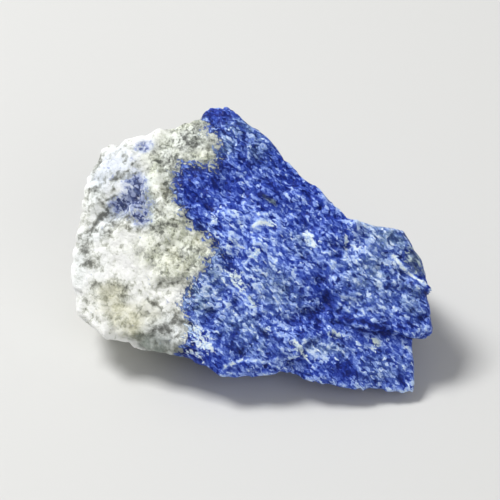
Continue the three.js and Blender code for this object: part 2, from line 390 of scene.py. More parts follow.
# %% The calcite border
BORDER = np.array([                          # a and b, from the foot of the face to its top
    (-13, -20), (-9.2, -12.8), (-8.3, -11.9), (-8.0, -10.2), (-8.5, -8.4), (-8.6, -6.0), (-7.1, -3.5),
    (-5.9, -1.9), (-3.9, -0.3), (-5.6, 1.8), (-7.9, 3.4), (-9.1, 5.5), (-9.6, 8.3), (-8.7, 11.4),
    (-6.4, 11.2), (-4.5, 10.7), (-4.1, 12.6), (-4.7, 15.1), (-6.6, 16.4), (-6.6, 20),
])
SLANT = 0.15                                 # b + 0.15 a rises all the way up the border
BORDER_BEHIND = -8.5                         # a, about which it wanders behind the face
BEND = 0.45                                  # mm by which swells bend whatever is mapped on the face


def calcite_distance(p):
    """The distance to the nearest stretch of the border, less than nothing on its left. Two swells
    bend it. Behind the face it is a less a border of swells."""
    bent = p + BEND * np.stack([swell(p, 2.3, 70), swell(p, 1.9, 72), swell(p, 2.1, 71)], axis=1)
    lines = np.hstack([BORDER[:-1], BORDER[1:]])
    near = np.min([off_line(bent, *line) for line in lines], axis=0)
    border_a = np.interp(bent[:, 1] + SLANT * bent[:, 0], BORDER @ (SLANT, 1), BORDER[:, 0])
    ahead = np.where(bent[:, 0] < border_a, -near, near)
    behind = p[:, 0] - BORDER_BEHIND + 3.5 * swell(p, 9.0, 73) + 1.2 * swell(p, 3.5, 74)
    front = ramp(-1, 5, p[:, 2])
    return front * ahead + (1 - front) * behind


print("the border's height on the face, mm:", round(float(np.ptp(BORDER[:, 1])), 1))

# %% [markdown]
# ## Fine relief
#
# The solid model stops at forms of about a millimetre. The finer ones are added here, along the
# same rays: splinters and thin ledges in the blue, sugary grains and pits in the calcite, and
# chips along the sharp edges, where a lump always loses a little. Bump in the material could
# fake them, but only real relief roughens the outline and catches the light from the side.

# %% Fine relief by zone
FOLDS = [                                    # from (a, b) to (a, b), width, rise
    (-1.8, -8.0, 3.0, -12.2, 0.5, -0.35),    # down to the lower edge
    (3.0, -12.2, 5.0, -15.0, 0.4, -0.35),
    (4.0, -16.6, 4.9, -15.2, 0.7, -0.50),    # the notch in the lower edge, cut on to the left
    (6.3, -16.2, 5.9, -15.0, 0.8, 0.50),     # and filled up on its right
    (1.4, 12.4, 9.4, 3.6, 0.5, 0.22),        # along the upper right edge
    (0.2, 10.8, 7.8, 2.8, 0.5, -0.25),
    (-4.4, 0.6, 1.2, -6.4, 0.5, -0.22),
    (12.2, 3.2, 12.8, -2.2, 0.5, -0.25),     # down the plate's left end
    (14.2, 0.4, 20.6, -3.6, 0.4, -0.20),
    (-3.0, -14.4, 3.2, -14.2, 0.5, 0.30),    # the lip on the lower edge
    (11.6, -8.4, 18.0, -10.6, 0.5, -0.34),   # under the plate's lower edge
]
SKEW = np.linalg.qr([[3.0, 1.0, -2.0], [-1.0, 4.0, 1.0], [2.0, 1.0, 5.0]])[0]


def fine_relief(p, edge):
    """Splinters and thin ledges in the blue, lumps and pits in the white, and chips where two
    facets meet. The swells are read in skewed axes, so their grid runs along nothing."""
    s = p @ SKEW
    q = along_grain(p, 2.4)
    splinters = hollows(q, 1.15, 0.24, 0.6, 101) + hollows(q, 0.6, 0.11, 0.7, 111)
    thin = ramp(-0.3, 0.4, swell(s, 5.0, 112)) * ledges(s, 1.5, 3.2, 1.15, 0.3, 113)
    sugar = -hollows(p, 1.25, 0.10, 0.7, 121) - hollows(p, 0.62, 0.07, 0.7, 131)
    pits = -0.16 * ramp(0.45, 0.8, swell(s, 1.7, 140))
    white = ramp(0.5, -0.5, calcite_distance(p))
    chips = 0.5 * ramp(0.0, 0.7, swell(s, 2.2, 141)) + 0.2 * ramp(0.0, 0.6, swell(s, 0.9, 142))
    grainy = splinters + thin + white * (sugar + pits - splinters - thin)
    return grainy + strokes(p, FOLDS) - edge * chips


print(len(FOLDS), "fine folds")

# %% [markdown]
# ## The surface
#
# A box with a grid on each of its six faces is the simplest closed surface with even cells. Each
# face is a grid of two parameters. Its points slide along the rays until they lie on the stone,
# and the seams stay closed because points that coincide are merged before they slide.

# %% A gridded box
BOX = np.array([46.0, 37.0, 24.0])           # mm along a, b and c
SOLID_STEPS = (37, 29, 19)                   # cells along a, b and c in the solid model
FINE_STEPS = (170, 124, 96)                  # and here


def gridded_box(steps):
    """For each pair of opposite faces, points at equal steps u and v of the other two axes, and
    quads between them. Returns the merged points and the quads."""
    lines = [np.linspace(-0.5, 0.5, n + 1) * size for n, size in zip(steps, BOX)]
    points, quads, count = [], [], 0
    for axis in range(3):
        u, v = np.meshgrid(lines[(axis + 1) % 3], lines[(axis + 2) % 3], indexing="ij")
        index = np.arange(u.size).reshape(u.shape)
        square = [index[:-1, :-1], index[1:, :-1], index[1:, 1:], index[:-1, 1:]]
        square = np.stack(square, axis=-1).reshape(-1, 4)
        for end in (-1, 1):
            patch = np.empty((u.size, 3))
            patch[:, axis] = end * BOX[axis] / 2
            patch[:, (axis + 1) % 3] = u.ravel()
            patch[:, (axis + 2) % 3] = v.ravel()
            points.append(patch)
            quads.append(square[:, ::end] + count)
            count += u.size
    points = np.concatenate(points)
    _, first, merged = np.unique(np.round(points, 5), axis=0, return_index=True, return_inverse=True)
    return points[first], merged.ravel()[np.concatenate(quads)]


# %% Slide the box onto the stone
SPINE_SHARE = 0.6
CHIP_ROUND = 1.6                             # mm: edges that this would round off are sharp


def slide(box_points, fine):
    """Start on the spine at 0.6 a, head for the box point, and go as far as the stone reaches plus
    the relief there, but not below the table. Returns the points in stone and in table axes."""
    starts = box_points * (SPINE_SHARE, 0, 0)
    rays = box_points - starts
    rays = rays / np.linalg.norm(rays, axis=1, keepdims=True)
    bare = leave(starts, rays)
    far = bare + relief(starts + rays * bare[:, None])
    if fine:
        edge = ramp(0.15, 1.1, bare - leave(starts, rays, CHIP_ROUND))
        far = far + fine_relief(starts + rays * far[:, None], edge)
    fall = -rays @ TO_STONE[:, 2]
    room = MIDDLE_HEIGHT + starts @ TO_STONE[:, 2]
    floor = np.where(fall > BARELY, room / np.maximum(fall, BARELY), FAR)
    p = starts + rays * np.minimum(far, floor)[:, None]
    return p, to_table(p)


solid_points, _ = gridded_box(SOLID_STEPS)
solid = slide(solid_points, fine=False)[1]
centre = (solid.min(axis=0) + solid.max(axis=0)) / 2 * (1, 1, 0)
fine_points, quads = gridded_box(FINE_STEPS)
stone_points, table_points = slide(fine_points, fine=True)
table_points = table_points - centre
print("fine surface:", len(table_points), "points,", 2 * len(quads), "triangles")
print("size, mm:", np.ptp(table_points, axis=0).round(2), "origin moved by", -centre.round(3))

# %% Into a Blender mesh
def new_object(name, data):
    """An object made of a mesh, a light or a camera, linked into the scene."""
    thing = bpy.data.objects.new(name, data)
    bpy.context.scene.collection.objects.link(thing)
    return thing


mesh = bpy.data.meshes.new("lapis_surface")
mesh.from_pydata((table_points * MM).tolist(), [], quads.tolist())
mesh.shade_smooth()
lapis = new_object("lapis_lazuli_stone", mesh)
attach(lapis, "root")
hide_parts("lapis_stone")
print(lapis.name, "has", len(mesh.polygons), "quads")

# %% [markdown]
# ## What the surface knows about itself
#
# Crushed ridges are paler, and from the same number the finish also paints highlight on ridges
# and shade in hollows. Cycles can guess how proud a point stands while it renders, with
# Pointiness, but that depends on the size of the faces, so it is measured here in millimetres.
# How proud a point stands is its height above the surface after a few rounds of averaging with
# its neighbours.

# %% Height above the neighbourhood
edges = np.concatenate([quads[:, [n, (n + 1) % 4]] for n in range(4)])
edge_count = np.bincount(edges.ravel(), minlength=len(table_points))
PROUD_ROUNDS = 12


def smoothed(values, rounds):
    """Each round gives every point the mean of its neighbours along the grid's edges."""
    for _ in range(rounds):
        total = np.stack([
            np.bincount(edges[:, 0], values[edges[:, 1], n], len(values))
            + np.bincount(edges[:, 1], values[edges[:, 0], n], len(values))
            for n in range(values.shape[1])
        ], axis=1)
        values = total / edge_count[:, None]
    return values


normals = np.empty(len(table_points) * 3, np.float32)
mesh.vertices.foreach_get("normal", normals)
normals = normals.reshape(-1, 3)
proud = ((table_points - smoothed(table_points, PROUD_ROUNDS)) * normals).sum(axis=1)
print("proud, mm, 5% to 95%:", np.percentile(proud, [5, 95]).round(3))

# %% [markdown]
# ## Zones of colour
#
# The minerals could be painted on an image, but an image needs an unwrapped surface and blurs
# close up. They are mapped as soft zones in the stone's own axes instead, in millimetres. Each is
# a number, 0 where the mineral is missing, kept on the points of the mesh. The material turns it
# into colour grain by grain, so that no zone ends in a smooth line.

# %% Soft patches
FACE_FADE = (0, 4)                           # c, in mm, over which the face's own zones come in


def patch(p, a, b, half_a, half_b, turn, strength=1.0):
    """strength exp(-r^3) with r the distance from (a, b) in half widths, turned by some degrees."""
    t = np.radians(turn)
    da, db = p[:, 0] - a, p[:, 1] - b
    u = (da * np.cos(t) + db * np.sin(t)) / half_a
    v = (db * np.cos(t) - da * np.sin(t)) / half_b
    return strength * np.exp(-((u * u + v * v) ** 1.5))


def patches(p, rows):
    """The strongest of the patches, on the front only."""
    return np.max([patch(p, *row) for row in rows], axis=0) * ramp(*FACE_FADE, p[:, 2])


# %% Zones of the blue: middle a and b, half widths, turn, and strength if not 1
HAZE = [                                     # blue with much calcite and diopside in it
    (-6.4, -6.2, 2.2, 2.6, -20, 1.4), (-4.4, -3.4, 2.2, 2.4, -30, 1.2), (3.4, -4.8, 4.2, 2.6, -38),
    (0.8, 13.2, 1.8, 3.2, 25), (-1.4, 15.6, 1.9, 1.7, 0, 1.3), (-3.2, 13.4, 2.0, 2.0, 0, 1.2),
    (-0.6, -10.6, 5.0, 2.6, -30, 0.9), (15.5, -3.4, 4.8, 4.6, -20), (17.4, 1.6, 3.2, 1.8, -15, 1.6),
    (20.6, -6.4, 1.8, 2.6, 0), (6.4, 0.8, 2.6, 1.6, -38, 0.8), (9.6, -12.4, 3.6, 1.2, -15),
    (16.8, -15.0, 3.6, 2.2, -10, 0.7),
]
SPECKLED = [                                 # crushed, full of short pale strokes, and painted light in the shaded notch and under the plate
    (-0.4, -11.4, 4.6, 1.9, -30, 0.3), (0.6, 1.2, 6.4, 4.0, -38, 1.25), (-1.2, -6.4, 3.2, 1.6, -45),
    (3.4, -6.6, 2.8, 1.5, -35, 0.8), (4.2, -9.6, 3.6, 1.2, -40), (12.6, 0.4, 1.0, 3.4, -5),
    (14.6, 1.2, 2.6, 1.4, -30), (15.0, -7.0, 2.8, 1.2, -25, 0.4), (-4.2, -2.8, 1.6, 2.0, -30),
    (18.4, -11.9, 3.6, 0.9, -12, 1.4), (9.4, -2.0, 2.0, 1.5, -40, 0.9),
    (4.4, -14.2, 2.0, 0.9, -25, 1.7), (9.4, -13.2, 3.4, 1.2, -18), (5.0, -8.0, 1.5, 1.2, 0, 0.6),
    (8.0, -7.4, 1.3, 1.3, 0, 0.6), (5.2, -14.0, 1.4, 1.2, 0, 0.7), (17.0, -11.0, 1.8, 1.2, 0, 0.5),
    (-4.2, -8.0, 1.5, 1.3, 0, 0.6), (-6.8, -5.0, 1.2, 1.4, 0, 0.6),
]
DEEP = [                                     # nearly pure lazurite, and painted shade on the plate's steep right end
    (-5.2, 6.8, 3.8, 4.0, 0), (-7.7, 7.8, 1.6, 3.2, 12, 1.3), (17.2, -4.8, 2.2, 1.5, -20, 0.8),
    (6.8, -16.2, 1.5, 0.4, -30), (4.6, 10.8, 8.6, 2.2, -47), (-2.6, 17.2, 2.8, 1.3, 0),
    (-1.2, 16.4, 3.2, 2.2, -20, 1.5), (18.0, 2.0, 2.4, 1.2, -15, 0.7),
    (10.0, -5.8, 1.5, 2.8, 10, 0.8), (8.4, -8.8, 2.2, 1.2, 35, 0.8), (-1.2, -9.4, 1.6, 1.8, 0, 0.8),
    (-5.1, -8.8, 1.5, 1.3, 0, 1.3), (15.2, -9.4, 3.4, 0.7, -18, 0.7), (22.9, -7.2, 1.2, 3.4, 8),
    (17.0, -16.6, 3.4, 1.2, -12, 0.8), (11.4, -14.4, 2.0, 1.2, 0, 0.8),
    (-4.9, -14.1, 1.8, 0.7, -20, 1.6), (-0.6, -12.4, 3.4, 1.2, -30, 1.3),
    (-1.2, -2.2, 1.8, 1.6, 0, 0.5), (5.0, -4.2, 1.7, 1.8, 0, 0.7), (2.0, -8.0, 1.6, 1.6, 0, 0.6),
    (2.0, -14.0, 1.6, 1.4, 0, 0.7), (5.0, -11.0, 1.5, 1.3, 0, 0.6), (-7.0, -8.0, 1.5, 1.5, 0, 0.8),
    (-4.6, -11.0, 2.2, 1.4, 0, 0.6), (2.2, 1.0, 2.0, 1.6, 0, 0.5),
]
FLECKS = [                                   # calcite in the blue
    (7.4, 1.2, 1.0, 0.8, -40), (-4.6, 4.3, 0.7, 0.7, 0), (-1.6, -3.9, 2.8, 1.0, -42, 0.7),
    (0.9, -0.2, 1.4, 0.3, 55), (6.0, -12.4, 1.9, 0.9, -35, 0.9), (11.9, 1.6, 0.35, 0.9, 0),
    (13.8, -1.2, 0.5, 0.4, 0), (15.8, -12.7, 0.9, 0.4, -55, 0.7), (-7.2, -10.4, 2.8, 1.4, -35, 0.9),
    (-6.0, -12.2, 2.4, 1.0, -30, 0.9), (-7.0, -13.4, 1.6, 0.6, -20),
    (2.9, 3.05, 0.9, 0.35, -4, 0.9),
]
GREEN = [                                    # grey-green diopside in the blue
    (2.4, 6.6, 1.4, 0.6, -40, 0.9), (11.3, -10.7, 1.5, 0.7, -25, 0.9),
    (15.8, -11.8, 1.3, 0.7, -50, 0.8), (21.0, -1.4, 1.4, 2.4, 25, 1.1), (6.0, -12.6, 1.8, 0.8, -35),
    (0.4, -6.6, 1.0, 0.5, -45), (-1.6, -3.9, 1.8, 0.8, -42, 0.7),
]

# %% Seams and cracks, with painted highlight and shade: from (a, b) to (a, b), width, and how strong
SEAMS_AND_HIGHLIGHTS = [                                    # thin calcite seams and crushed rims, and painted highlight on the lower lip and plate's edge
    (-3.4, -15.2, -1.2, -14.2, 0.20, 2.2), (-1.2, -14.2, 1.6, -14.1, 0.20, 2.4),
    (1.6, -14.1, 3.4, -15.2, 0.20, 2.0), (-2.6, -15.8, 2.8, -16.0, 0.20, 1.2),
    (12.0, -7.4, 15.6, -9.0, 0.24, 1.0), (5.4, -9.8, 10.4, -11.8, 0.22, 0.7),
    (18.2, -1.0, 22.2, -4.5, 0.22, 4.0), (-2.6, -3.0, -0.5, -5.2, 0.30, 0.8),
    (-3.0, -6.9, -2.0, -8.6, 0.24, 1.6), (-8.4, -9.6, -5.4, -12.2, 0.50, 1.4),
    (-7.0, -9.2, -5.0, -10.8, 0.30, 1.0), (0.1, 2.2, 0.5, 0.7, 0.18, 2.0),
    (-0.7, -1.7, 0.9, 0.0, 0.16, 2.0), (-5.4, 5.0, -4.5, 3.1, 0.24, 1.6),
    (-3.3, 3.4, -2.4, 3.0, 0.24, 1.6), (-2.8, 5.2, -2.0, 4.6, 0.22, 1.6),
    (-3.4, 0.4, -0.6, 0.2, 0.16, 1.4), (7.0, 2.2, 8.2, 0.7, 0.40, 1.1),
    (8.0, 0.8, 9.4, -0.6, 0.26, 1.4), (0.3, 3.3, 2.5, 3.1, 0.22, 6.5),
    (0.9, 4.6, 2.8, 4.8, 0.16, 1.6), (10.0, -9.6, 15.8, -12.6, 0.22, 1.6),
    (5.2, -11.5, 6.2, -12.5, 0.30, 1.2), (6.4, -13.0, 7.6, -13.7, 0.28, 1.2),
    (7.6, -12.4, 10.8, -12.0, 0.20, 1.4), (13.0, 0.6, 13.3, -1.2, 0.20, 1.8),
    (14.9, -1.9, 15.1, -2.1, 0.22, 3.0), (11.7, 2.2, 12.1, -0.8, 0.20, 1.6),
    (1.6, 11.8, 9.4, 3.4, 0.16, 0.6), (-4.8, 1.4, 0.8, -6.0, 0.20, 0.7),
    (-6.8, -3.2, -3.8, -6.0, 0.18, 1.4), (-3.8, -6.0, 0.8, -10.8, 0.18, 1.2),
    (6.6, -14.6, 14.0, -16.6, 0.22, 0.6), (14.0, -16.6, 20.6, -17.6, 0.22, 0.6),
    (12.6, -3.6, 16.0, -6.4, 0.18, 0.6),
]
CRACKS_AND_SHADE = [                                   # dark flaws, and painted shade on the crease, under the plate and on the tip's top edge
    (-21.8, 1.8, -18.8, 4.4, 0.28, 1.0), (-18.8, 4.4, -16.2, 7.2, 0.24, 1.1),
    (-16.5, 0.3, -15.7, -0.5, 0.30, 0.7), (-13.0, -6.2, -11.6, -7.4, 0.26, 0.7),
    (-18.4, 6.2, -16.8, 7.6, 0.20, 0.8), (-17.6, 8.8, -17.0, 9.3, 0.30, 1.0),
    (-15.2, -10.8, -12.4, -11.0, 0.34, 1.0), (-9.4, -12.8, -7.6, -13.3, 0.40, 1.6),
    (11.8, -8.2, 17.8, -10.4, 0.36, 1.7), (1.4, 7.3, 3.3, 6.0, 0.36, 1.8),
    (-3.4, -0.8, -1.4, -3.2, 0.50, 0.7), (-0.8, 1.8, 1.6, -1.6, 0.34, 0.8),
    (3.4, 2.6, 6.6, -1.0, 0.34, 0.8), (6.2, -10.4, 9.4, -12.4, 0.40, 1.0),
    (10.6, -14.8, 12.8, -15.4, 1.00, 0.9), (-5.0, 17.6, -0.6, 18.0, 1.10, 0.9),
    (7.4, -8.9, 10.0, -6.4, 0.30, 0.6), (-18.9, 5.7, -16.0, 7.5, 0.26, 0.9),
    (-17.9, 7.6, -17.4, 8.1, 0.26, 0.8), (-16.8, 10.0, -16.5, 10.6, 0.24, 0.5),
    (-15.3, 9.2, -14.8, 9.7, 0.28, 0.9), (-11.2, 7.6, -10.7, 6.2, 0.22, 0.8),
    (-10.9, 8.5, -10.7, 8.1, 0.26, 1.1),
]

# %% Zones of the white end: middle a and b, half widths, turn, and strength if not 1
BLUE_IN_WHITE = [                            # blue-grey clouds in the calcite
    (-14.4, 7.0, 1.7, 2.9, 15, 0.96), (-16.0, 6.2, 2.3, 1.5, 35), (-13.8, 4.6, 1.5, 1.3, 0, 0.85),
    (-13.6, 13.4, 1.2, 0.8, 10, 0.8), (-17.6, 10.4, 3.4, 2.4, 35, 0.24),
]
OLIVE = [                                    # diopside beside the border
    (-10.6, -0.6, 4.6, 3.4, -25), (-11.0, 11.8, 2.6, 3.2, 0),
]
CREAM = [                                    # cream and faintly brown stains
    (-16.0, -8.6, 4.0, 2.6, -35), (-18.0, -5.6, 2.6, 2.2, 0), (-13.2, -8.4, 2.8, 1.8, -20, 0.7),
    (-11.6, 6.8, 1.5, 3.0, 8, 0.7), (-6.0, 1.0, 1.8, 1.2, -35, 0.7),
    (-9.6, -1.0, 1.6, 2.4, 40, 0.6),
]
GLASSY = [                                   # clear calcite at the foot
    (-11.9, -12.2, 3.9, 1.8, -14),
]
DULL_AND_SHADE = [                                     # grey, flawed calcite, and painted shade along the crease and the left rim
    (-18.6, 3.4, 4.4, 1.5, 40, 1.4), (-21.6, -1.4, 1.2, 4.4, -12), (-7.6, 14.2, 3.4, 1.8, 5, 1.4),
    (-16.8, 11.4, 4.2, 2.8, 15, 0.5), (-10.4, 11.2, 2.0, 3.0, 0, 1.2),
    (-19.8, 7.6, 1.4, 3.4, -10, 1.1), (-11.0, 7.0, 2.2, 5.2, 0, 0.9),
    (-7.2, -0.8, 2.8, 1.9, -25, 0.5), (-10.4, -10.2, 2.8, 2.2, -20, 1.4),
    (-19.6, -2.6, 1.6, 3.4, -10, 0.4), (-11.0, 3.2, 2.4, 2.0, 0, 0.3),
]
print(len(SEAMS_AND_HIGHLIGHTS), "seams and", len(CRACKS_AND_SHADE), "cracks_and_shade")

# %% Zones over the whole stone
RIM_STRENGTH, RIM_WIDTH = 0.8, 0.9           # of the dark rim along the calcite, in mm


def zones(p):
    """Every zone by its name. Behind the face they are swells over a threshold. Within a millimetre
    of the calcite the blue is deep, with a haze over it."""
    hidden = 1 - ramp(*FACE_FADE, p[:, 2])
    bent = p + BEND * np.stack([swell(p, 1.5, 80 + n) for n in range(3)], axis=1)
    q = along_grain(p, 1.6)
    border = calcite_distance(p)
    rim = RIM_STRENGTH * np.exp(-(border / RIM_WIDTH) ** 2)
    olive = ramp(-6.0, -3.2, border) * ramp(-7.5, -2.0, p[:, 1] + 2.0 * swell(p, 4.0, 83))
    olive = np.maximum(olive, patches(bent, OLIVE))
    olive_behind = ramp(-6, -2, border) * ramp(-0.2, 0.4, swell(p, 6.0, 84))
    return {
        "border": border,
        "olive": olive + hidden * (olive_behind - olive),
        "haze": rim + patches(bent, HAZE + BLUE_IN_WHITE) + hidden * ramp(0.0, 0.6, swell(p, 7.0, 85)),
        "speckled": patches(bent, SPECKLED) + hidden * ramp(0.0, 0.6, swell(q, 5.0, 86)),
        "deep": rim + patches(bent, DEEP) + hidden * ramp(0.1, 0.7, swell(p, 5.0, 87)),
        "flecks": patches(bent, FLECKS) + 0.7 * hidden * ramp(0.62, 0.85, swell(q, 2.2, 88)),
        # seams carry painted highlights on the lower edges, cracks painted shade on the crease, under
        # the plate and on the tip
        "seams_and_highlights": strokes(bent, SEAMS_AND_HIGHLIGHTS),
        "cracks_and_shade": strokes(bent, CRACKS_AND_SHADE),
        "green": patches(bent, GREEN) + hidden * ramp(0.5, 0.8, swell(q, 3.4, 89)),
        "blue_in_white": patches(bent, BLUE_IN_WHITE) + hidden * ramp(0.6, 0.8, swell(p, 3.6, 90)),
        "cream": patches(bent, CREAM) + hidden * ramp(0.3, 0.8, swell(p, 6.0, 91)),
        "glassy": patches(bent, GLASSY),
        # grey flawed calcite, and painted shade along the crease and the left rim
        "dull_and_shade": patches(bent, DULL_AND_SHADE) + hidden * ramp(0.0, 0.6, swell(p, 6.0, 92)),
        "proud": proud,
    }


stone_zones = zones(stone_points)
for name, values in stone_zones.items():
    mesh.attributes.new(name, "FLOAT", "POINT").data.foreach_set("value", values.astype(np.float32))
    print(f"{name:14} mean {values.mean():6.2f}   largest {values.max():6.2f}")

# %% [markdown]
# ## Finish
#
# Lazurite is a felt of tiny grains, deep ultramarine where it is pure and milky where calcite
# is mixed in. Broken dry, the rock is satin rather than glossy, with small glints where single
# crystals of calcite have split flat. Noise alone would look like cloud, so everything starts
# from grains: Voronoi cells, stretched along the rock's grain in the blue part and even in the
# calcite. Each grain has its own shade, its own tilt and its own place on one side or the other
# of every border.

# %% Helpers for materials
def linear(hex_colour):
    """An sRGB hex colour as linear red, green, blue and alpha."""
    parts = [int(hex_colour[n:n + 2], 16) / 255 for n in (1, 3, 5)]
    return [x / 12.92 if x <= 0.04045 else ((x + 0.055) / 1.055) ** 2.4 for x in parts] + [1.0]


def add(tree, kind, inputs=(), output=0, stops=(), **settings):
    """Adds one node with its settings and returns one output of it. An input is a value, or
    another node's output to link. Inputs in a list go to the sockets in their order, as the value,
    from low, from high, to low and to high of a Map Range. stops are the places and colours of a
    colour ramp."""
    node = tree.nodes.new("ShaderNode" + kind)
    for name, value in settings.items():
        setattr(node, name, value)
    for name, value in inputs.items() if isinstance(inputs, dict) else enumerate(inputs):
        if isinstance(value, bpy.types.NodeSocket):
            tree.links.new(value, node.inputs[name])
        else:
            node.inputs[name].default_value = value
    for n, (place, colour) in enumerate(stops):
        stop = node.color_ramp.elements[n] if n < 2 else node.color_ramp.elements.new(place)
        stop.position, stop.color = place, linear(colour)
    return node.outputs[output] if node.outputs else node


def plus(tree, total, *terms):
    """total + the sum of value x share over the terms."""
    for value, share in terms:
        total = add(tree, "Math", [value, share, total], operation="MULTIPLY_ADD")
    return total


def mix(tree, amount, first, second, blend="MIX"):
    """The first colour with an amount of the second laid over it, in one of Blender's blend types."""
    inputs = {0: amount, 6: first, 7: second}    # sockets of a Mix node that mixes colours
    return add(tree, "Mix", inputs, 2, data_type="RGBA", blend_type=blend)


# %% Patterns, with their sizes in millimetres
FIBRE = unit([0.72, -0.68, -0.14])           # the way the blue grains lie
BLUE_GRAIN = 0.28
WHITE_GRAIN = 0.5
GRAIN_STRETCH = 2.3
WOBBLE = 0.7                                 # size and reach of the bends in every pattern


def patterns(tree):
    """Positions in millimetres, and the noises and grains that the finish is made from."""
    coords = add(tree, "TexCoord", output="Object")
    mm = add(tree, "VectorMath", {0: coords, "Scale": 1 / MM}, operation="SCALE")
    wobble = add(tree, "TexNoise", {"Vector": mm, "Scale": 1 / WOBBLE, "Detail": 2}, "Color")
    bent = add(tree, "VectorMath", [wobble, (WOBBLE,) * 3, mm], operation="MULTIPLY_ADD")
    fibre = Vector(FIBRE @ TO_STONE)
    across = fibre.orthogonal().normalized()
    turn = Matrix((fibre, across, fibre.cross(across))).transposed().to_euler()
    stretch = {"Rotation": turn, "Scale": (GRAIN_STRETCH, 1, 1)}
    along = add(tree, "Mapping", {"Vector": bent, **stretch}, vector_type="TEXTURE")
    made = {}
    for name, size, vector, settings in (
        ("streaks", 0.5, along, {"Detail": 4, "Roughness": 0.6, "Distortion": 0.6}),
        ("clouds", 3.2, mm, {"Detail": 3, "Roughness": 0.5}),
        ("wisps", 1.7, bent, {"Detail": 5, "Roughness": 0.65, "Distortion": 0.8}),
        ("curds", 0.9, bent, {"Detail": 2, "Roughness": 0.5, "Distortion": 0.4}),
        ("sand", 0.3, mm, {"Detail": 3, "Roughness": 0.7}),
    ):
        made[name] = add(tree, "TexNoise", {"Vector": vector, "Scale": 1 / size, **settings})
    veins = {"Vector": along, "Scale": 1 / 1.5, "Detail": 3, "Roughness": 0.6}
    veins |= {"Offset": 1.0, "Gain": 1.6}
    made["veins"] = add(tree, "TexNoise", veins, noise_type="RIDGED_MULTIFRACTAL", normalize=False)
    for name, size, vector in (("splinter", BLUE_GRAIN, along), ("sugar", WHITE_GRAIN, bent)):
        made[name] = add(tree, "TexVoronoi", {"Vector": vector, "Scale": 1 / size}, "Color")
        made[name + "_at"] = vector
    return made


# %% [markdown]
# ## The blue rock
#
# Pure lazurite is a dark, even ultramarine. Crushing and the calcite between its grains turn it
# paler, and diopside turns it grey-green. A separate noise for every colour would make a motley,
# so one number says how pale each grain is, and two colour ramps turn it into pure or milky blue.

# %% Colour of the blue rock
def blue_rock(tree, pattern, zone):
    """How pale each grain is: its own chance, streaks, crests and the zones, each by its share,
    through a ramp. Crests are paler partly from crushing and partly as painted highlight, and
    some zones add painted shade and painted light. The grains that touch the calcite are dark."""
    dusk = add(tree, "MapRange", [zone["border_near"], 4.1, 5.4, -0.24, 0.0])
    # proud crests: crushed and paler, and painted highlight; cracks: painted shade among the flaws;
    # seams: painted highlight on edges; speckled and deep: some painted light and shade
    pale = plus(
        tree, 0.0, (pattern["splinter"], 0.57), (pattern["streaks"], 1.1), (pattern["clouds"], 0.18),
        (pattern["veins"], 0.08), (zone["proud"], 0.6), (zone["seams_and_highlights"], 0.17), (zone["cracks_and_shade"], -0.20),
        (dusk, 1.0), (zone["haze"], 0.07), (zone["speckled"], 0.13), (zone["deep"], -0.09),
    )
    pale = add(tree, "MapRange", [pale, 0.70, 1.42])
    pure = add(tree, "ValToRGB", [pale], stops=[
        (0.05, "#04196a"), (0.24, "#152d92"), (0.44, "#314cb1"),
        (0.60, "#5974ce"), (0.76, "#90abf2"), (1.00, "#c8deff"),
    ])
    milky = add(tree, "ValToRGB", [pale], stops=[
        (0.00, "#1c2c60"), (0.28, "#32477e"), (0.50, "#506a9a"),
        (0.75, "#8ca5cc"), (1.00, "#d2dff2"),
    ])
    patchy = add(tree, "Math", [pattern["wisps"], pattern["sand"]], operation="ADD")
    patchy = add(tree, "MapRange", [patchy, 0.70, 1.20])
    patchy = add(tree, "Math", [patchy, zone["haze"]], operation="MULTIPLY", use_clamp=True)
    blue = mix(tree, patchy, pure, milky)
    green = plus(tree, zone["green"], (pattern["splinter"], 0.8))
    green = add(tree, "MapRange", [green, 0.9, 1.5, 0.0, 0.85])
    tint = add(tree, "ValToRGB", [pale], stops=[
        (0.2, "#3a484e"), (0.5, "#75868a"), (0.9, "#c0cec8"),
    ])
    return mix(tree, green, blue, tint)


# %% [markdown]
# ## The calcite
#
# The white end is sugary calcite with grey flaws. It is stained cream, is glassy at its foot, and
# has a band of olive diopside beside the blue. Each stain could be a material of its own, but
# then it would end in a line. Here it is laid over the white only where its zone and the wisps
# together allow it.

